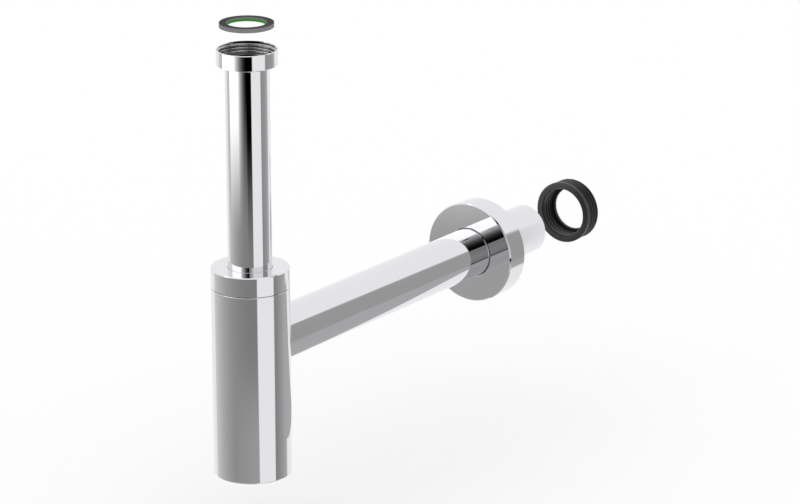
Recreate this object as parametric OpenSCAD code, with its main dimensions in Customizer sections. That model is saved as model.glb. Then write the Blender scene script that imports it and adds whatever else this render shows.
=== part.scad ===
// Round chromed bottle trap for a washbasin, 1 1/4 inch inlet, outlet through the wall.
// Origin: on the inlet axis at the sealing plane, where the basin's waste tail ends.
// +Z up along the inlet tube, +Y along the outlet pipe towards the wall. Millimetres.

/* [Inlet nut] */
// Wall of the round union nut outside its thread
nut_wall = 1.045; // [0.8:0.005:3]
// Height of the nut
nut_h = 11.5; // [11:0.5:20]
// Distance from the tube's side out to the roots of the 1 1/4 inch thread
thread_out = 4.955; // [4.5:0.005:6]
// Length of thread left above the sealing plane
thread_up = 5.3; // [5:0.1:12]
// Run-out of the thread below the sealing plane
thread_down = 0.2; // [0.1:0.1:0.4]
// Thickness of the collar that pulls on the tube's rim
collar_t = 1; // [0.8:0.1:3]
// Depth that the pocket's wall stands proud of the thread's roots
pocket_step = 0.35; // [0.2:0.05:0.6]
// Bevel on the nut's edges
nut_bevel = 0.5; // [0.2:0.1:0.6]

/* [Inlet washer] */
// Gap from the flat washer's edge out to the roots of the thread
washer_play = 1.505; // [1.48:0.005:2]
// Distance that the washer's hole stands in from the tube's bore
washer_in = 0.75; // [0:0.05:3]
// Thickness of the flat washer
washer_t = 3; // [1.5:0.1:4]
// Height that the washer is held above its seat
washer_lift = 24.6; // [10:0.1:60]

/* [Inlet tube] */
// Outer diameter of the inlet tube
tube_od = 32; // [28:0.5:35]
// Wall of the inlet tube
tube_wall = 1; // [0.8:0.1:1.5]
// Length of the inlet tube, with its rim
tube_l = 240; // [225:1:300]
// Width of the tube's turned-out rim
rim_w = 3; // [2:0.1:3.4]
// Thickness of the rim
rim_t = 1; // [0.8:0.1:1.5]
// Thickness of the split slip ring under the rim
slip_t = 0.8; // [0.6:0.1:1.5]
// Gap where the slip ring is split
slip_gap = 2; // [1:0.5:4]
// Length of tube seen between the nut and the cap
tube_seen = 149.2; // [110:0.1:190]

/* [Cap] */
// Outer diameter of the bottle and its cap
bottle_od = 57; // [54:0.5:70]
// Height of the cap above the seam
cap_h = 14.6; // [13:0.1:24]
// Thickness of the cap's top
cap_top_t = 3; // [2:0.1:4]
// Length of the cap's screwed skirt below the seam
skirt_l = 11; // [8:0.5:16]
// Bevel on the cap's top edge
cap_bevel = 0.7; // [0.3:0.1:1]
// Bevel that opens the seam between cap and bottle
seam_bevel = 0.3; // [0.1:0.1:0.5]
// Height of the seam between cap and bottle
seam_gap = 0.3; // [0.2:0.1:0.6]

/* [Gland in the cap] */
// Thickness of the round rings that seal the tube
tube_seal_t = 4; // [3:0.1:4.5]
// Height of the spacer between the two rings
spacer_h = 6; // [4:0.5:8]
// Height of the screwed ring that closes the gland
gland_nut_h = 5; // [4:0.5:7]

/* [Bottle] */
// Height of the bottle below the seam
bottle_h = 141.4; // [125:0.1:180]
// Wall of the bottle
bottle_wall = 1.5; // [1.2:0.1:2]
// Thickness of the bottle's floor
floor_t = 2; // [1.5:0.1:4]
// Rounding of the bottle's lower edge
foot_r = 1.2; // [0.6:0.1:1.4]
// Wall of the threaded ring fixed in the bottle's neck
neck_wall = 1.5; // [1.2:0.1:2]
// Height of the step in the neck that carries the dip tube
ledge_h = 2.5; // [2:0.1:4]
// Width of that step
ledge_w = 4.5; // [3:0.1:5]
// Smallest gap from the dip tube out to that step
ledge_play = 1.5; // [0.5:0.1:4]

/* [Dip tube] */
// Wall of the plastic dip tube
dip_wall = 1.5; // [1:0.1:2]
// Play between the inlet tube and the dip tube, each side
dip_play = 0.5; // [0.3:0.1:0.8]
// Depth of water that seals the trap
water_seal = 50; // [50:1:60]
// Thickness of the dip tube's flange
dip_flange_t = 2; // [1.5:0.1:3]
// Thickness of the gasket under the dip tube's flange
dip_gasket_t = 1.2; // [1:0.1:2]

/* [Outlet pipe] */
// Outer diameter of the outlet pipe
pipe_od = 38; // [30:0.5:40]
// Wall of the outlet pipe
pipe_wall = 1.2; // [1:0.1:1.5]
// Distance from the bottle's axis to the pipe's free end
pipe_reach = 346; // [300:1:400]
// Height from the seam down to the outlet pipe's axis
outlet_drop = 45.3; // [40:0.1:60]
// Bevel on the pipe's free end
pipe_bevel = 0.5; // [0.2:0.1:0.6]

/* [Wall flange] */
// Outer diameter of the wall flange
flange_od = 78; // [70:0.5:90]
// Depth of the wall flange
flange_h = 18.5; // [14:0.5:30]
// Sheet thickness of the wall flange
flange_wall = 1.2; // [1:0.1:1.5]
// Bevel round the flange's face
flange_bevel = 0.9; // [0.4:0.1:1]
// Distance from the bottle's axis to the flange's face
flange_at = 269.5; // [230:0.5:280]
// Depth of the turned-in neck that holds the grip ring
flange_neck_h = 7; // [5:0.5:9]
// Thickness of the rubber grip ring
grip_t = 2.2; // [1.8:0.1:3]

/* [Wall seal] */
// Wall of the seal's sleeve between pipe and ribs
sleeve_wall = 3.12; // [2:0.01:4]
// Distance that the seal's front lip stands out from its ribs
lip_out = 0.3; // [0:0.1:1.5]
// Length of the front lip
lip_l = 3.6; // [3:0.1:5]
// Number of ribs
rib_count = 4; // [3:1:5]
// Pitch of the ribs
rib_pitch = 3.1; // [2.8:0.1:3.6]
// Height of a rib above the seal's sleeve
rib_h = 2; // [1.5:0.1:2.2]
// Width of a rib's flat crest
rib_crest = 0.8; // [0.5:0.1:1]
// Length of the pipe stop at the seal's far end
stop_l = 2.5; // [2:0.1:4]
// Distance that the pipe stop reaches in from the pipe's side
stop_in = 2.5; // [1:0.1:4]
// Distance from the pipe's free end to the seal held off it
seal_off = 51; // [20:1:80]

/* [Fits] */
// Gap between two flat faces that move on each other
face_gap = 0.05; // [0.03:0.01:0.1]
// Gap each side where a rubber ring closes on a wall
seal_gap = 0.08; // [0.03:0.01:0.1]
// Gap each side between a piece and a hole it passes freely
free_gap = 0.3; // [0.2:0.05:0.5]
// Gap each side in a screwed joint
screw_gap = 0.1; // [0.05:0.01:0.2]

/* [Hidden] */
$fn = 96;

CHROME = [0.86, 0.86, 0.88];
BRASS = [0.78, 0.65, 0.36];
RUBBER = [0.12, 0.12, 0.12];
PLASTIC = [0.90, 0.90, 0.88];

// Radii that several pieces share
tube_r = tube_od/2;
bottle_r = bottle_od/2;
bore_r = bottle_r - bottle_wall;
pipe_r = pipe_od/2;
thread_r = tube_r + thread_out;
pocket_r = thread_r - pocket_step;

// Heights in the nut, from its mouth down
nut_top = thread_up;
nut_foot = nut_top - nut_h;
slip_foot = nut_foot + collar_t + face_gap;
rim_foot = slip_foot + slip_t + face_gap;
rim_top = rim_foot + rim_t;

// Heights in the cap, from its top down
cap_top = nut_foot - tube_seen;
seam = cap_top - cap_h;
skirt_foot = seam - skirt_l;
gland_top = cap_top - cap_top_t;
gland_r = tube_r + tube_seal_t + 2*seal_gap;
upper_seal_foot = gland_top - tube_seal_t - face_gap;
spacer_foot = upper_seal_foot - spacer_h - face_gap;
lower_seal_foot = spacer_foot - tube_seal_t - face_gap;
gland_nut_foot = lower_seal_foot - gland_nut_h - face_gap;

// Heights in the bottle, from its rim down
bottle_rim = seam - seam_gap;
bottle_foot = bottle_rim - bottle_h;
neck_r = bore_r - neck_wall;
skirt_r = neck_r - screw_gap;
cap_seal_t = bore_r - skirt_r - 2*seal_gap;
neck_top = seam - cap_seal_t - 2*face_gap;
dip_flange_top = skirt_foot - free_gap;
dip_flange_foot = dip_flange_top - dip_flange_t;
ledge_top = dip_flange_foot - dip_gasket_t;
ledge_foot = ledge_top - ledge_h;
outlet_z = bottle_rim - outlet_drop;
dip_r = tube_r + dip_play;
ledge_r = max(bore_r - ledge_w, dip_r + dip_wall + ledge_play);
dip_foot = outlet_z - pipe_r + pipe_wall - water_seal;

// Places along the outlet pipe
flange_back = flange_at + flange_h;
sleeve_l = rib_pitch*rib_count;
seal_l = lip_l + sleeve_l;
seal_at = pipe_reach + seal_off;
seal_bore_r = pipe_r + seal_gap;
sleeve_r = seal_bore_r + sleeve_wall;

// A ring about Z: inner and outer radius, lowest and highest point
module ring(r_in, r_out, foot, top) {
    rotate_extrude()
        translate([r_in, foot]) square([r_out - r_in, top - foot]);
}

// A round rubber ring about Z that fills the gap from r_in to r_out
module round_ring(r_in, r_out, mid) {
    section_r = (r_out - r_in)/2;
    rotate_extrude()
        translate([r_in + section_r, mid]) circle(r = section_r);
}

// Turns an outline of [radius, distance] about the outlet pipe's axis
module about_pipe() {
    translate([0, 0, outlet_z]) rotate([-90, 0, 0]) rotate_extrude() children();
}

module inlet_washer() {
    washer_foot = rim_top + washer_lift;
    color(RUBBER)
        ring(tube_r - tube_wall - washer_in, thread_r - washer_play,
             washer_foot, washer_foot + washer_t);
}

module inlet_nut() {
    nut_r = thread_r + nut_wall;
    mouth_bevel = min(nut_bevel, (nut_r - thread_r)*0.4);
    color(CHROME)
        rotate_extrude()
            polygon([
                [tube_r + free_gap, nut_foot],
                [nut_r - nut_bevel, nut_foot],
                [nut_r, nut_foot + nut_bevel],
                [nut_r, nut_top - mouth_bevel],
                [nut_r - mouth_bevel, nut_top],
                [thread_r + mouth_bevel, nut_top],
                [thread_r, nut_top - mouth_bevel],
                [thread_r, -thread_down],
                [pocket_r, -thread_down],
                [pocket_r, nut_foot + collar_t],
                [tube_r + free_gap, nut_foot + collar_t]
            ]);
}

module slip_ring() {
    color(PLASTIC)
        difference() {
            ring(tube_r + seal_gap, pocket_r - free_gap, slip_foot, slip_foot + slip_t);
            translate([-slip_gap/2, -pocket_r, slip_foot - 1])
                cube([slip_gap, pocket_r, slip_t + 2]);
        }
}

module inlet_tube() {
    lead = tube_wall/2;
    tube_foot = rim_top - tube_l;
    color(CHROME)
        rotate_extrude()
            polygon([
                [tube_r - tube_wall, tube_foot],
                [tube_r - lead, tube_foot],
                [tube_r, tube_foot + lead],
                [tube_r, rim_foot],
                [tube_r + rim_w, rim_foot],
                [tube_r + rim_w, rim_top],
                [tube_r - tube_wall, rim_top]
            ]);
}

module bottle_cap() {
    hole_r = tube_r + seal_gap;
    hole_bevel = cap_bevel/2;
    skirt_bevel = min(cap_bevel, (skirt_r - gland_r)*0.4);
    color(CHROME)
        rotate_extrude()
            polygon([
                [hole_r, gland_top],
                [hole_r, cap_top - hole_bevel],
                [hole_r + hole_bevel, cap_top],
                [bottle_r - cap_bevel, cap_top],
                [bottle_r, cap_top - cap_bevel],
                [bottle_r, seam + seam_bevel],
                [bottle_r - seam_bevel, seam],
                [skirt_r, seam],
                [skirt_r, skirt_foot + skirt_bevel],
                [skirt_r - skirt_bevel, skirt_foot],
                [gland_r, skirt_foot],
                [gland_r, gland_top]
            ]);
}

module upper_tube_seal() {
    color(RUBBER)
        round_ring(tube_r + seal_gap, gland_r - seal_gap, upper_seal_foot + tube_seal_t/2);
}

module seal_spacer() {
    color(PLASTIC)
        ring(tube_r + free_gap, gland_r - screw_gap, spacer_foot, spacer_foot + spacer_h);
}

module lower_tube_seal() {
    color(RUBBER)
        round_ring(tube_r + seal_gap, gland_r - seal_gap, lower_seal_foot + tube_seal_t/2);
}

// Closes the gland from below, with four slots for the key that turns it
module gland_nut() {
    slot_w = gland_nut_h/2;
    color(PLASTIC)
        difference() {
            ring(tube_r + free_gap, gland_r - screw_gap, gland_nut_foot,
                 gland_nut_foot + gland_nut_h);
            for (turn = [0, 90])
                rotate(turn)
                    translate([-slot_w/2, -gland_r, gland_nut_foot - 1])
                        cube([slot_w, 2*gland_r, slot_w/2 + 1]);
        }
}

module cap_seal() {
    color(RUBBER)
        round_ring(skirt_r + seal_gap, bore_r - seal_gap, neck_top + face_gap + cap_seal_t/2);
}

// Threaded ring fixed in the bottle's neck, with the ledge that carries the dip tube
module neck_ring() {
    color(BRASS)
        rotate_extrude()
            polygon([
                [bore_r, ledge_foot],
                [bore_r, neck_top],
                [neck_r, neck_top],
                [neck_r, ledge_top],
                [ledge_r, ledge_top],
                [ledge_r, ledge_foot]
            ]);
}

module dip_gasket() {
    color(RUBBER)
        ring(ledge_r, neck_r - screw_gap, ledge_top, dip_flange_foot);
}

module dip_tube() {
    flange_r = neck_r - screw_gap;
    color(PLASTIC)
        rotate_extrude()
            polygon([
                [dip_r, dip_foot],
                [dip_r + dip_wall, dip_foot],
                [dip_r + dip_wall, dip_flange_foot],
                [flange_r, dip_flange_foot],
                [flange_r, dip_flange_top],
                [dip_r + dip_wall/2, dip_flange_top],
                [dip_r, dip_flange_top - dip_wall]
            ]);
}

// A round cup with a rounded lower edge and the outlet's hole in its side
module bottle_body() {
    color(CHROME)
        difference() {
            rotate_extrude()
                difference() {
                    union() {
                        translate([0, bottle_foot + foot_r])
                            square([bottle_r, bottle_h - foot_r - seam_bevel]);
                        translate([0, bottle_foot])
                            square([bottle_r - foot_r, bottle_h]);
                        translate([bottle_r - foot_r, bottle_foot + foot_r])
                            circle(r = foot_r);
                        polygon([
                            [bottle_r - foot_r, bottle_rim - seam_bevel],
                            [bottle_r, bottle_rim - seam_bevel],
                            [bottle_r - seam_bevel, bottle_rim],
                            [bottle_r - foot_r, bottle_rim]
                        ]);
                    }
                    translate([0, bottle_foot + floor_t]) square([bore_r, bottle_h]);
                }
            translate([0, 0, outlet_z])
                rotate([-90, 0, 0])
                    cylinder(r = pipe_r + face_gap, h = bottle_od);
        }
}

// Brazed into the bottle's side and trimmed to its inner wall
module outlet_pipe() {
    color(CHROME)
        difference() {
            about_pipe()
                polygon([
                    [pipe_r - pipe_wall, 0],
                    [pipe_r, 0],
                    [pipe_r, pipe_reach - pipe_bevel],
                    [pipe_r - pipe_bevel, pipe_reach],
                    [pipe_r - pipe_wall, pipe_reach]
                ]);
            translate([0, 0, outlet_z - pipe_od])
                cylinder(r = bore_r, h = 2*pipe_od);
        }
}

// A drawn cup, open towards the wall, whose hole is turned in to hold the grip ring
module wall_flange() {
    outer_r = flange_od/2;
    hole_r = pipe_r + free_gap;
    hole_bevel = flange_wall/2;
    neck_in = pipe_r + grip_t + 2*seal_gap;
    color(CHROME)
        about_pipe()
            polygon([
                [hole_r + hole_bevel, flange_at],
                [outer_r - flange_bevel, flange_at],
                [outer_r, flange_at + flange_bevel],
                [outer_r, flange_back],
                [outer_r - flange_wall, flange_back],
                [outer_r - flange_wall, flange_at + flange_wall],
                [neck_in + flange_wall, flange_at + flange_wall],
                [neck_in + flange_wall, flange_at + flange_neck_h],
                [neck_in, flange_at + flange_neck_h],
                [neck_in, flange_at + flange_wall],
                [hole_r, flange_at + flange_wall],
                [hole_r, flange_at + hole_bevel]
            ]);
}

module flange_grip() {
    grip_in = pipe_r + seal_gap;
    color(RUBBER)
        about_pipe()
            translate([grip_in, flange_at + flange_wall + face_gap])
                square([grip_t, flange_neck_h - flange_wall - face_gap]);
}

// The rubber sleeve: a front lip, a groove, ribs outside, gripping lips and a stop inside
module wall_seal() {
    lip_r = sleeve_r + rib_h + lip_out;
    stop_r = pipe_r - stop_in;
    rib_foot = rib_pitch*0.75;
    rib_root = rib_h/2;
    groove_w = rib_pitch*0.55;
    groove_d = rib_h*0.45;
    lip_round = lip_l*0.2;
    color(RUBBER)
        about_pipe()
            translate([0, seal_at])
                difference() {
                    union() {
                        translate([seal_bore_r, 0])
                            square([sleeve_r - seal_bore_r, seal_l]);
                        polygon([
                            [seal_bore_r, 0],
                            [lip_r - lip_round, 0],
                            [lip_r, lip_round],
                            [lip_r, lip_l - lip_round],
                            [lip_r - lip_round, lip_l],
                            [seal_bore_r, lip_l]
                        ]);
                        for (rib = [1 : rib_count])
                            translate([sleeve_r, lip_l + rib*rib_pitch - rib_foot/2])
                                polygon([
                                    [-rib_root, -rib_foot/2],
                                    [0, -rib_foot/2],
                                    [rib_h, -rib_crest/2],
                                    [rib_h, rib_crest/2],
                                    [0, rib_foot/2],
                                    [-rib_root, rib_foot/2]
                                ]);
                        translate([stop_r, seal_l - stop_l])
                            square([sleeve_r - stop_r, stop_l]);
                    }
                    for (groove = [1 : rib_count - 1])
                        translate([seal_bore_r - 1, lip_l + (groove - 0.5)*rib_pitch - groove_w/2])
                            square([groove_d + 1, groove_w]);
                }
}

inlet_washer();
inlet_nut();
slip_ring();
inlet_tube();
bottle_cap();
upper_tube_seal();
seal_spacer();
lower_tube_seal();
gland_nut();
cap_seal();
neck_ring();
dip_gasket();
dip_tube();
bottle_body();
outlet_pipe();
wall_flange();
flange_grip();
wall_seal();
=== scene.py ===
# %% [markdown]
# # A chromed bottle trap
# This lesson dresses a washbasin's bottle trap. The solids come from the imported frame, at real
# size and in metres: the inlet axis is the Z axis and the outlet pipe runs along +Y to the wall.
# First comes the stage, then one finish after another, then the pieces that need more form than
# the solids have.

# %% Load the frame
import math

import bpy
from mathutils import Matrix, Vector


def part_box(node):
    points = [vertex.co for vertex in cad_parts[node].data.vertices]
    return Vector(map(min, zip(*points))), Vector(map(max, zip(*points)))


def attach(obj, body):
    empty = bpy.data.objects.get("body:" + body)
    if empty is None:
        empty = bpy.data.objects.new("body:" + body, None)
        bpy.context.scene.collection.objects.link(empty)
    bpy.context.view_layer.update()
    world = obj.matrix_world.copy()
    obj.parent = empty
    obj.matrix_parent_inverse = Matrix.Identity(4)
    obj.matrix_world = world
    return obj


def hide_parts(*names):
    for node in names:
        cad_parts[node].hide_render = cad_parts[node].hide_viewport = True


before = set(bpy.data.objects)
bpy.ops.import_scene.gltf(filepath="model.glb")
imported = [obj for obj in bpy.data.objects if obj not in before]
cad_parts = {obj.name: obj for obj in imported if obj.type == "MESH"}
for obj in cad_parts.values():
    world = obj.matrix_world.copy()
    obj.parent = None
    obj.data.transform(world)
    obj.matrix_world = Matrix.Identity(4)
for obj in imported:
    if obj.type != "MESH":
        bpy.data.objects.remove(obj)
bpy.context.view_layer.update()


# %% [markdown]
# ## The camera
# The trap is photographed from the right front and from above. The long lens keeps the tube's
# sides nearly parallel, so its length was worked out from how little they close in. Turning the
# camera comes last, because it is leaned by a seventh of a degree.

# %% Place the camera
PHOTO_WIDTH = 800
LENS_PIXELS = 3887.5
camera_data = bpy.data.cameras.new("camera")
camera = bpy.data.objects.new("camera", camera_data)
bpy.context.scene.collection.objects.link(camera)
bpy.context.scene.camera = camera
camera_data.sensor_fit = "HORIZONTAL"
camera_data.lens = LENS_PIXELS/PHOTO_WIDTH*camera_data.sensor_width
camera_data.clip_end = 20
VIEW_TURN = math.radians(36.54)
VIEW_DOWN = math.radians(17.93)
VIEW_LEAN = math.radians(-0.15)
turned = (Matrix.Rotation(VIEW_TURN, 4, "Z") @ Matrix.Rotation(math.pi/2 - VIEW_DOWN, 4, "X")
          @ Matrix.Rotation(VIEW_LEAN, 4, "Z"))
camera.matrix_world = Matrix.Translation((1.6565, -2.0556, 0.7085)) @ turned
print("lens", round(camera_data.lens, 1), "mm")


# %% [markdown]
# ## Nodes and colours
# Colours are written as the hex values a paint program shows. Shaders work with linear light,
# so one function turns them. Another adds a node with its settings and links.

# %% Two helpers
def linear(hex_colour):
    parts = [int(hex_colour[i:i + 2], 16)/255 for i in (1, 3, 5)]
    return tuple(c/12.92 if c <= 0.04045 else ((c + 0.055)/1.055)**2.4 for c in parts) + (1.0,)


def add_node(tree, kind, inputs=None, **settings):
    """inputs are numbers, colours or other nodes' sockets, by name or by place."""
    node = tree.nodes.new("ShaderNode" + kind)
    for name, value in settings.items():
        setattr(node, name, value)
    for name, value in (inputs or {}).items():
        if isinstance(value, bpy.types.NodeSocket):
            tree.links.new(value, node.inputs[name])
        else:
            node.inputs[name].default_value = value
    return node


# %% [markdown]
# ## The studio
# Polished chrome has no colour of its own: all that the eye gets is the room. So the room is set
# up as for silverware: white walls, a grey floor, and a few large cards, which the metal shows
# as stripes. It is drawn on the world by turn and by lift, both in degrees. A turn of 0 faces the
# camera, and a turn of 90 is on the camera's right. The camera looks down on the trap, so the
# upright sides show what lies at lifts of -15 to -21: the nut and the upper tube show the feet
# of the cards, and below that the tube, the cap and the bottle show the floor.

# %% Find each ray's turn and lift
world = bpy.data.worlds.new("studio")
bpy.context.scene.world = world
world.use_nodes = True
room = world.node_tree
room.nodes.clear()
around = add_node(room, "TexCoord")
faced = add_node(room, "Mapping", {"Vector": around.outputs["Generated"],
                                   "Rotation": (0, 0, -VIEW_TURN)}, vector_type="POINT")
way = add_node(room, "SeparateXYZ", {0: faced.outputs[0]})
back = add_node(room, "Math", {0: way.outputs["Y"], 1: -1.0}, operation="MULTIPLY")
angle = add_node(room, "Math", {0: way.outputs["X"], 1: back.outputs[0]}, operation="ARCTAN2")
turn = add_node(room, "Math", {0: angle.outputs[0]}, operation="DEGREES").outputs[0]
rise = add_node(room, "Math", {0: way.outputs["Z"]}, operation="ARCSINE")
lift = add_node(room, "Math", {0: rise.outputs[0]}, operation="DEGREES").outputs[0]

# %% [markdown]
# One function lays every card. A card hides what is behind it between two turns and between two
# lifts, and its edges are a little soft. Its light goes from that of its left edge to that of
# its right one, where 1 is white. With a fall above 1 it drops fast at first and slowly later,
# as on a sheet that is lit from one end.

# %% Write the function that lays a card
DOWN, UP = -99, 99


def between(value, ends, soft):
    """Is 1 between the ends and 0 outside them."""
    low, high = ends
    begun = add_node(room, "MapRange", {"Value": value, "From Min": low - soft,
                                        "From Max": low + soft}, interpolation_type="SMOOTHSTEP")
    going = add_node(room, "MapRange", {"Value": value, "From Min": high + soft,
                                        "From Max": high - soft}, interpolation_type="SMOOTHSTEP")
    both = add_node(room, "Math", {0: begun.outputs[0], 1: going.outputs[0]}, operation="MULTIPLY")
    return both.outputs[0]


def lay_card(behind, turns, lifts, lights, fall=1.0, side=1.5, edge=0.8):
    """side and edge are half the width of the soft edges, in turn and in lift."""
    left, right = turns
    cover = add_node(room, "Math", {0: between(turn, turns, side), 1: between(lift, lifts, edge)},
                     operation="MULTIPLY")
    to_go = add_node(room, "MapRange", {"Value": turn, "From Min": right, "From Max": left})
    fallen = add_node(room, "Math", {0: to_go.outputs[0], 1: fall}, operation="POWER")
    light = add_node(room, "MapRange", {"Value": fallen.outputs[0], "To Min": lights[1],
                                        "To Max": lights[0]})
    laid = add_node(room, "Mix", {"Factor": cover.outputs[0], 6: behind, 7: light.outputs[0]},
                    data_type="RGBA")
    return laid.outputs[2]


# %% [markdown]
# The walls are white, and the grey floor comes in two depths. Near the trap, where only its
# undersides see it, it is an even grey. Farther out it is lit from the wall behind the trap, so
# it darkens towards the camera on both sides, and in front it is lighter at its near edge. At
# the camera's right a white gap is left in it. The near floor is tucked under the far one.

# %% Lay the grey floor
WALL_WHITE = (0.99, 0.985, 1.0, 1)
HORIZON = -14.3
NEAR_EDGE = -22.5
TUCKED = NEAR_EDGE + 2
seen = lay_card(WALL_WHITE, turns=(-124, 20), lifts=(DOWN, TUCKED), lights=(0.5, 0.5), side=4.0)
seen = lay_card(seen, turns=(73, 99), lifts=(DOWN, TUCKED), lights=(0.45, 0.45), side=3.0)
seen = lay_card(seen, turns=(73, 115), lifts=(-31, TUCKED), lights=(0.45, 0.45))
seen = lay_card(seen, turns=(-126, 21), lifts=(NEAR_EDGE, HORIZON), lights=(0.75, 0.25), fall=2.5,
                side=2.0)
seen = lay_card(seen, turns=(-50, 21), lifts=(NEAR_EDGE, -20), lights=(0.33, 0.4))
seen = lay_card(seen, turns=(73, 122), lifts=(NEAR_EDGE, HORIZON), lights=(0.25, 0.5), side=2.5)

# %% [markdown]
# Five cards stand on the floor. From the camera's left to its right these are a lamp behind
# white cloth, a sheet that grades from white to black, a low black card with a sheet behind it
# that grades back to white, and a grey card that faces the outlet pipe.

# %% Stand the cards
BLACK_TOP = -13
seen = lay_card(seen, turns=(-1, 22), lifts=(BLACK_TOP, UP), lights=(0.2, 0.9))
seen = lay_card(seen, turns=(-4, 20), lifts=(-17.2, BLACK_TOP), lights=(0.0, 0.0), edge=1.0)
seen = lay_card(seen, turns=(-46, -1), lifts=(-16.6, UP), lights=(1.1, 0.0), fall=2.6, edge=1.2)
seen = lay_card(seen, turns=(-102, -46), lifts=(-16.5, UP), lights=(1.6, 1.6), side=3.0, edge=1.3)
seen = lay_card(seen, turns=(72, 110), lifts=(-17.5, UP), lights=(0.32, 0.4))

# %% [markdown]
# Over everything hangs a white ceiling. The camera itself sees plain white, and so do rays that
# light the rubber and the plastic, at a soft even level: only polished metal sees the cards.

# %% Hang the ceiling
CEILING_FROM, CEILING_WHOLE = 44.0, 60.0
ceiling = add_node(room, "MapRange", {"Value": lift, "From Min": CEILING_FROM,
                                      "From Max": CEILING_WHOLE}, interpolation_type="SMOOTHSTEP")
roofed = add_node(room, "Mix", {"Factor": ceiling.outputs[0], 6: seen,
                                7: (1.0, 0.99, 1.0, 1)}, data_type="RGBA")
print("room:", len(room.nodes), "nodes")

# %% Choose what each kind of ray sees
PLAIN_LIGHT = 1.0
ray = add_node(room, "LightPath")
cards_light = add_node(room, "Background", {"Color": roofed.outputs[2], "Strength": 1.0})
soft_light = add_node(room, "Background", {"Color": (1, 1, 1, 1), "Strength": PLAIN_LIGHT})
white_back = add_node(room, "Background", {"Color": (1, 1, 1, 1), "Strength": 1.0})
metal_sees = add_node(room, "MixShader", {0: ray.outputs["Is Glossy Ray"], 1: soft_light.outputs[0],
                                          2: cards_light.outputs[0]})
camera_sees = add_node(room, "MixShader", {0: ray.outputs["Is Camera Ray"],
                                           1: metal_sees.outputs[0], 2: white_back.outputs[0]})
add_node(room, "OutputWorld", {"Surface": camera_sees.outputs[0]})
bpy.context.scene.view_settings.view_transform = "Standard"


# %% [markdown]
# ## The floor
# A wide white floor lies under the bottle. It catches the soft shadow, and metal doesn't see it,
# because the room's own grey floor stands for it there.

# %% Lay the floor
FLOOR_AT = -0.36
bpy.ops.object.select_all(action="DESELECT")
bpy.ops.mesh.primitive_plane_add(size=30, location=(0, 0, FLOOR_AT))
floor = bpy.context.active_object
floor.name = "floor"
bpy.ops.object.transform_apply(location=True, rotation=True, scale=True)
floor.visible_glossy = False

white_paint = bpy.data.materials.new("matt_white_floor_paint")
white_paint.use_nodes = True
tree = white_paint.node_tree
tree.nodes.clear()
diffuse = add_node(tree, "BsdfDiffuse", {"Color": (1.0, 1.0, 1.0, 1)})
add_node(tree, "OutputMaterial", {"Surface": diffuse.outputs[0]})
floor.data.materials.append(white_paint)
print("floor at", FLOOR_AT)

# %% [markdown]
# One grey sheet lies beside the outlet pipe, level with the bottle's foot, and only metal sees
# it. It is so near that its straight edge runs at a slant along the pipe's underside: a card far
# away would draw that line parallel to the pipe.

# %% Lay the grey sheet
SHEET_AT = -0.3134
SHEET_MIDDLE = (0.1019, 0.2647)
SHEET_LENGTH = 0.359
SHEET_WIDTH = 0.125
SHEET_TURN = math.radians(59.66)
bpy.ops.object.select_all(action="DESELECT")
bpy.ops.mesh.primitive_plane_add(size=1, location=(*SHEET_MIDDLE, SHEET_AT),
                                 rotation=(0, 0, SHEET_TURN))
sheet = bpy.context.active_object
sheet.name = "grey_sheet"
sheet.scale = (SHEET_LENGTH, SHEET_WIDTH, 1)
bpy.ops.object.transform_apply(location=True, rotation=True, scale=True)
for kind_of_ray in ("camera", "diffuse", "transmission", "shadow", "volume_scatter"):
    setattr(sheet, "visible_" + kind_of_ray, False)

grey_paper = bpy.data.materials.new("grey_card_paper")
grey_paper.use_nodes = True
tree = grey_paper.node_tree
tree.nodes.clear()
glow = add_node(tree, "Emission", {"Color": (0.47, 0.47, 0.475, 1), "Strength": 1.0})
add_node(tree, "OutputMaterial", {"Surface": glow.outputs[0]})
sheet.data.materials.append(grey_paper)
print("sheet", SHEET_LENGTH, "by", SHEET_WIDTH, "m")

# %% [markdown]
# A white card stands beside the pipe's free end, again for metal alone. It hides the grey card
# from the pipe's tail, which is almost evenly pale. Its near end is thin, so a faint grey
# still shows next to the flange.

# %% Stand the white card
CARD_SIDE = 0.050
CARD_NEAR, CARD_FAR = 0.318, 0.430
CARD_LOW, CARD_HIGH = -0.290, -0.180
bpy.ops.object.select_all(action="DESELECT")
bpy.ops.mesh.primitive_plane_add(size=1, rotation=(0, math.pi/2, 0),
                                 location=(CARD_SIDE, (CARD_NEAR + CARD_FAR)/2,
                                           (CARD_LOW + CARD_HIGH)/2))
card = bpy.context.active_object
card.name = "white_card"
card.scale = (CARD_HIGH - CARD_LOW, CARD_FAR - CARD_NEAR, 1)
bpy.ops.object.transform_apply(location=True, rotation=True, scale=True)
for kind_of_ray in ("camera", "diffuse", "transmission", "shadow", "volume_scatter"):
    setattr(card, "visible_" + kind_of_ray, False)

white_paper = bpy.data.materials.new("white_card_paper")
white_paper.use_nodes = True
tree = white_paper.node_tree
tree.nodes.clear()
spot = add_node(tree, "SeparateXYZ", {0: add_node(tree, "TexCoord").outputs["Object"]})
cover = add_node(tree, "MapRange", {"Value": spot.outputs["Y"], "From Min": CARD_NEAR,
                                    "From Max": 0.395, "To Min": 0.55, "To Max": 1.0})
glow = add_node(tree, "Emission", {"Color": (0.97, 0.96, 0.98, 1), "Strength": 1.0})
clear = add_node(tree, "BsdfTransparent")
thin = add_node(tree, "MixShader", {0: cover.outputs[0], 1: clear.outputs[0], 2: glow.outputs[0]})
add_node(tree, "OutputMaterial", {"Surface": thin.outputs[0]})
card.data.materials.append(white_paper)
print("card from", CARD_NEAR, "to", CARD_FAR, "m")


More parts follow.
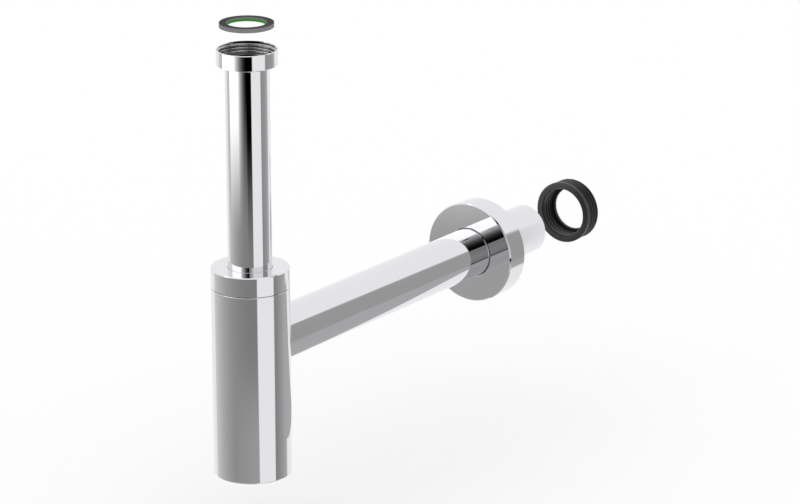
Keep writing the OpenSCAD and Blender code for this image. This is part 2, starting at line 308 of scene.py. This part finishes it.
# %% [markdown]
# ## Polished chrome
# Brass plated with nickel and a thin layer of chromium, buffed to a mirror. A metal's colour is
# its reflection's tint: here a pale, faintly cool white. Buffing leaves streaks far too fine to
# see one by one, so the roughness only drifts a little, in clouds about 15 mm across.

# %% Make the chrome
def new_material(name):
    made = bpy.data.materials.new(name)
    made.use_nodes = True
    made.node_tree.nodes.clear()
    return made


def object_place(tree):
    return add_node(tree, "TexCoord").outputs["Object"]


chrome = new_material("polished_chrome_plate")
tree = chrome.node_tree
clouds = add_node(tree, "TexNoise", {"Vector": object_place(tree), "Scale": 65.0, "Detail": 2.0})
gloss = add_node(tree, "MapRange", {"Value": clouds.outputs["Fac"], "From Min": 0.3,
                                    "From Max": 0.7, "To Min": 0.015, "To Max": 0.035})
tint = add_node(tree, "Mix", {"Factor": clouds.outputs["Fac"], 6: linear("#E3E2E5"),
                              7: linear("#E5E5E6")}, data_type="RGBA")
metal = add_node(tree, "BsdfPrincipled", {"Base Color": tint.outputs[2], "Metallic": 1.0,
                                          "Roughness": gloss.outputs[0]})
add_node(tree, "OutputMaterial", {"Surface": metal.outputs[0]})


def finish_with(node, made):
    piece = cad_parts[node]
    for place in range(max(1, len(piece.material_slots))):
        if piece.material_slots:
            piece.material_slots[place].material = made
        else:
            piece.data.materials.append(made)


for node in ("inlet_nut", "inlet_tube", "bottle_cap", "bottle_body", "outlet_pipe", "wall_flange"):
    finish_with(node, chrome)

# %% [markdown]
# ## Moulded rubber
# The wall seal and the hidden rings are black EPDM rubber, pressed in a steel mould. Carbon black
# makes it nearly black, and the mould's fine matt skin spreads its highlights, so the crests of
# the ribs show as soft grey bands. The grain is about 0.3 mm, drawn a little coarse so that
# it shows.

# %% Make the rubber
rubber = new_material("moulded_black_epdm_rubber")
tree = rubber.node_tree
grain = add_node(tree, "TexNoise", {"Vector": object_place(tree), "Scale": 2600.0, "Detail": 3.0})
soot = add_node(tree, "Mix", {"Factor": grain.outputs["Fac"], 6: linear("#141414"),
                              7: linear("#222222")}, data_type="RGBA")
dull = add_node(tree, "MapRange", {"Value": grain.outputs["Fac"], "To Min": 0.3, "To Max": 0.42})
bump = add_node(tree, "Bump", {"Height": grain.outputs["Fac"], "Strength": 0.25,
                               "Distance": 0.0001})
skin = add_node(tree, "BsdfPrincipled", {"Base Color": soot.outputs[2], "IOR": 1.52,
                                         "Roughness": dull.outputs[0], "Normal": bump.outputs[0]})
add_node(tree, "OutputMaterial", {"Surface": skin.outputs[0]})
for node in ("upper_tube_seal", "lower_tube_seal", "cap_seal", "dip_gasket", "flange_grip"):
    finish_with(node, rubber)
print("rubber on 5 hidden rings")

# %% [markdown]
# ## The flat washer
# The washer is cut from dark sheet rubber. Its rim and its bore are a lighter grey, a painted
# sheen that stands for bright reflections on these faces. The bore shows a green layer below,
# which seals on the tube's rim. The layers are told apart by height, and the sheen-painted faces
# by their distance from the axis. A sheet's matt skin shines less than a mould's, so its
# specular level is low.

# %% Make the washer's rubber
BORE_SIDE = 0.0144
RIM_SIDE = 0.0193
washer_rubber = new_material("two_layer_sheet_rubber_painted_sheen")
tree = washer_rubber.node_tree
place = object_place(tree)
washer_low, washer_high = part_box("inlet_washer")
layer_line = (washer_low[2] + washer_high[2])/2
level = add_node(tree, "VectorMath", {0: place, 1: (1, 1, 0)}, operation="MULTIPLY")
radius = add_node(tree, "VectorMath", {0: level.outputs[0]}, operation="LENGTH")
in_bore = add_node(tree, "Math", {0: radius.outputs["Value"], 1: BORE_SIDE}, operation="LESS_THAN")
height = add_node(tree, "SeparateXYZ", {0: place})
below = add_node(tree, "Math", {0: height.outputs["Z"], 1: layer_line}, operation="LESS_THAN")
green_share = add_node(tree, "Math", {0: in_bore.outputs[0], 1: below.outputs[0]},
                       operation="MULTIPLY")
grain = add_node(tree, "TexNoise", {"Vector": place, "Scale": 1800.0, "Detail": 2.0})
sheet_grey = add_node(tree, "Mix", {"Factor": grain.outputs["Fac"], 6: linear("#232323"),
                                    7: linear("#363636")}, data_type="RGBA")
on_rim = add_node(tree, "Math", {0: radius.outputs["Value"], 1: RIM_SIDE},
                  operation="GREATER_THAN")
painted_sheen_faces = add_node(tree, "Math", {0: in_bore.outputs[0], 1: on_rim.outputs[0]}, operation="ADD")
# Painted sheen: the rim and the bore get a lighter grey that stands for bright reflections on them.
painted_sheen_grey = add_node(tree, "Mix", {"Factor": grain.outputs["Fac"], 6: linear("#707070"),
                                  7: linear("#888888")}, data_type="RGBA")
greys = add_node(tree, "Mix", {"Factor": painted_sheen_faces.outputs[0], 6: sheet_grey.outputs[2],
                               7: painted_sheen_grey.outputs[2]}, data_type="RGBA")
layers = add_node(tree, "Mix", {"Factor": green_share.outputs[0], 6: greys.outputs[2],
                                7: linear("#1E9414")}, data_type="RGBA")
bump = add_node(tree, "Bump", {"Height": grain.outputs["Fac"], "Strength": 0.2,
                               "Distance": 0.0001})
skin = add_node(tree, "BsdfPrincipled", {"Base Color": layers.outputs[2], "IOR": 1.52,
                                         "Roughness": 0.6, "Specular IOR Level": 0.12,
                                         "Normal": bump.outputs[0]})
add_node(tree, "OutputMaterial", {"Surface": skin.outputs[0]})
finish_with("inlet_washer", washer_rubber)
print("washer's layers meet at", round(layer_line, 4))

# %% [markdown]
# ## White plastic
# The slip ring, the spacer, the gland nut and the dip tube are moulded polypropylene: milky white,
# a little waxy, and smooth but for the faint flow of the melt, in clouds about 8 mm across.

# %% Make the plastic
plastic = new_material("moulded_polypropylene")
tree = plastic.node_tree
flow = add_node(tree, "TexNoise", {"Vector": object_place(tree), "Scale": 120.0, "Detail": 2.0})
milk = add_node(tree, "Mix", {"Factor": flow.outputs["Fac"], 6: linear("#DEDED8"),
                              7: linear("#EAEAE5")}, data_type="RGBA")
wax = add_node(tree, "MapRange", {"Value": flow.outputs["Fac"], "To Min": 0.32, "To Max": 0.44})
skin = add_node(tree, "BsdfPrincipled", {"Base Color": milk.outputs[2], "IOR": 1.49,
                                         "Roughness": wax.outputs[0]})
add_node(tree, "OutputMaterial", {"Surface": skin.outputs[0]})
for node in ("slip_ring", "seal_spacer", "gland_nut", "dip_tube"):
    finish_with(node, plastic)
print("plastic on 4 pieces")

# %% [markdown]
# ## Turned brass
# The ring in the neck stays unplated, because nobody sees it. The lathe leaves fine rings round
# it, about 0.4 mm apart, which catch the light as thin bands.

# %% Make the brass
brass = new_material("turned_yellow_brass")
tree = brass.node_tree
place = object_place(tree)
tool_marks = add_node(tree, "TexWave", {"Vector": place, "Scale": 800.0, "Distortion": 0.5},
                      bands_direction="Z")
stain = add_node(tree, "TexNoise", {"Vector": place, "Scale": 90.0, "Detail": 3.0})
yellow = add_node(tree, "Mix", {"Factor": stain.outputs["Fac"], 6: linear("#B8924E"),
                                7: linear("#D8B670")}, data_type="RGBA")
bump = add_node(tree, "Bump", {"Height": tool_marks.outputs["Fac"], "Strength": 0.3,
                               "Distance": 0.00005})
metal = add_node(tree, "BsdfPrincipled", {"Base Color": yellow.outputs[2], "Metallic": 1.0,
                                          "Roughness": 0.28, "Normal": bump.outputs[0]})
add_node(tree, "OutputMaterial", {"Surface": metal.outputs[0]})
finish_with("neck_ring", brass)
print("brass on the neck ring")

# %% [markdown]
# ## The nut's thread
# The union nut has a G 1 1/4 pipe thread, 11 turns to the inch, cut in before plating. The ridge's
# section is drawn as a small ellipse half sunk in the nut's wall, and the Screw modifier
# winds it upwards as it turns, which is just what the lathe does with the tool. The buffing wheel
# doesn't reach into a thread, so the plate there is duller. Its darker grey is painted shade, for
# the thread's place deep inside the nut.

# %% Make the plate in the thread
thread_plate = new_material("duller_chrome_plate_painted_shade")
tree = thread_plate.node_tree
clouds = add_node(tree, "TexNoise", {"Vector": object_place(tree), "Scale": 400.0, "Detail": 2.0})
# Painted shade: the thread's plate is a darker grey than the chrome outside, for its place in the
# nut.
grey = add_node(tree, "Mix", {"Factor": clouds.outputs["Fac"], 6: linear("#9C9C9E"),
                              7: linear("#B4B4B6")}, data_type="RGBA")
satin = add_node(tree, "MapRange", {"Value": clouds.outputs["Fac"], "To Min": 0.1, "To Max": 0.22})
metal = add_node(tree, "BsdfPrincipled", {"Base Color": grey.outputs[2], "Metallic": 1.0,
                                          "Roughness": satin.outputs[0]})
add_node(tree, "OutputMaterial", {"Surface": metal.outputs[0]})
print("plate:", thread_plate.name)

# %% Wind the thread
THREAD_PITCH = 0.0254/11
RIDGE_MIDDLE = 0.02075
RIDGE_DEEP = 0.00115
RIDGE_WIDE = 0.00112
FIRST_RIDGE = -0.0029
THREAD_TURNS = 3
bpy.ops.object.select_all(action="DESELECT")
bpy.ops.mesh.primitive_circle_add(vertices=10, radius=1, location=(RIDGE_MIDDLE, 0, FIRST_RIDGE),
                                  rotation=(math.pi/2, 0, 0))
thread = bpy.context.active_object
thread.name = "nut_thread"
thread.scale = (RIDGE_DEEP, RIDGE_WIDE, 1)
bpy.ops.object.transform_apply(location=True, rotation=True, scale=True)
winding = thread.modifiers.new("winding", "SCREW")
winding.angle = math.tau
winding.screw_offset = THREAD_PITCH
winding.iterations = THREAD_TURNS
winding.steps = 96
winding.render_steps = 96
bpy.ops.object.modifier_apply(modifier="winding")
bpy.ops.object.mode_set(mode="EDIT")
bpy.ops.mesh.select_all(action="SELECT")
bpy.ops.mesh.fill_holes(sides=0)
bpy.ops.mesh.normals_make_consistent(inside=False)
bpy.ops.object.mode_set(mode="OBJECT")
bpy.ops.object.shade_smooth_by_angle(angle=math.radians(40))
thread.data.materials.append(thread_plate)
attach(thread, "nut")
print("thread:", THREAD_TURNS, "turns,", len(thread.data.polygons), "faces")

# %% [markdown]
# ## The wall seal
# The seal is one rubber moulding: a flat lip in front, four ribs outside that the wall's socket
# squeezes, and soft rings inside that grip the pipe up to a stop. Its outline is written from
# the mouth outwards, over the lip and the ribs, round the back and through the bore. Each point
# is a radius and a distance from the front in millimetres.

# %% Write the seal's outline
SLEEVE_R = 22.2
RIB_H = 2.0
RIB_PITCH = 3.1
FIRST_RIB = 5.54
RIB_HALF = 0.95
BORE_R = 19.08
GROOVE_R = 19.95
GROOVE_HALF = 0.85
LAST_GROOVE = 11.35
rounded_lip = [(23.5 + math.sin(t), 1 - math.cos(t)) for t in (0, 0.4, 0.8, 1.2, 1.57)]
seal_outline = [(19.7, 0.0)] + rounded_lip + [(24.5, 2.8), (24.3, 3.3), (23.8, 3.6), (SLEEVE_R, 3.75)]
for rib in range(4):
    rib_at = FIRST_RIB + rib*RIB_PITCH
    for lean in (-90, -62, -38, -14, 14, 38, 62, 90):
        t = math.radians(lean)
        seal_outline.append((SLEEVE_R + RIB_H*math.cos(t), rib_at + RIB_HALF*math.sin(t)))
seal_outline += [(SLEEVE_R - 0.2, 16.0), (16.8, 16.0), (16.5, 15.7), (16.5, 13.8), (16.8, 13.5),
                 (BORE_R, 13.5)]
for groove in range(3):
    groove_at = LAST_GROOVE - groove*RIB_PITCH
    seal_outline += [(BORE_R, groove_at + GROOVE_HALF), (GROOVE_R, groove_at + GROOVE_HALF/2),
                     (GROOVE_R, groove_at - GROOVE_HALF/2), (BORE_R, groove_at - GROOVE_HALF)]
seal_outline.append((BORE_R, 1.2))
print("outline:", len(seal_outline), "points")

# %% [markdown]
# A ring is laid at the first point and pulled from point to point, scaled about the pipe's axis
# at each, until it meets its start again. The meeting rings are merged, and the normals are
# turned outwards.

# %% Pull the ring round the outline
seal_low, seal_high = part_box("wall_seal")
seal_x = (seal_low[0] + seal_high[0])/2
seal_z = (seal_low[2] + seal_high[2])/2
points = [(radius/1000, seal_low[1] + along/1000) for radius, along in seal_outline]
bpy.ops.object.select_all(action="DESELECT")
bpy.ops.mesh.primitive_circle_add(vertices=112, radius=points[0][0],
                                  location=(seal_x, points[0][1], seal_z),
                                  rotation=(math.pi/2, 0, 0))
seal = bpy.context.active_object
seal.name = "wall_seal_moulding"
bpy.ops.object.transform_apply(location=True, rotation=True, scale=True)
bpy.ops.object.mode_set(mode="EDIT")
bpy.ops.mesh.select_all(action="SELECT")
for (old_r, old_at), (new_r, new_at) in zip(points, points[1:] + points[:1]):
    bpy.ops.mesh.extrude_region_move(TRANSFORM_OT_translate={"value": (0, new_at - old_at, 0)})
    bpy.ops.transform.resize(value=(new_r/old_r, 1, new_r/old_r),
                             center_override=(seal_x, new_at, seal_z))
bpy.ops.mesh.select_all(action="SELECT")
bpy.ops.mesh.remove_doubles(threshold=0.000002)
bpy.ops.mesh.normals_make_consistent(inside=False)
bpy.ops.object.mode_set(mode="OBJECT")
bpy.ops.object.shade_smooth_by_angle(angle=math.radians(38))
seal.data.materials.append(rubber)
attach(seal, "wall_seal")
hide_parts("wall_seal")
print("seal:", len(seal.data.vertices), "points,", len(seal.data.polygons), "faces")
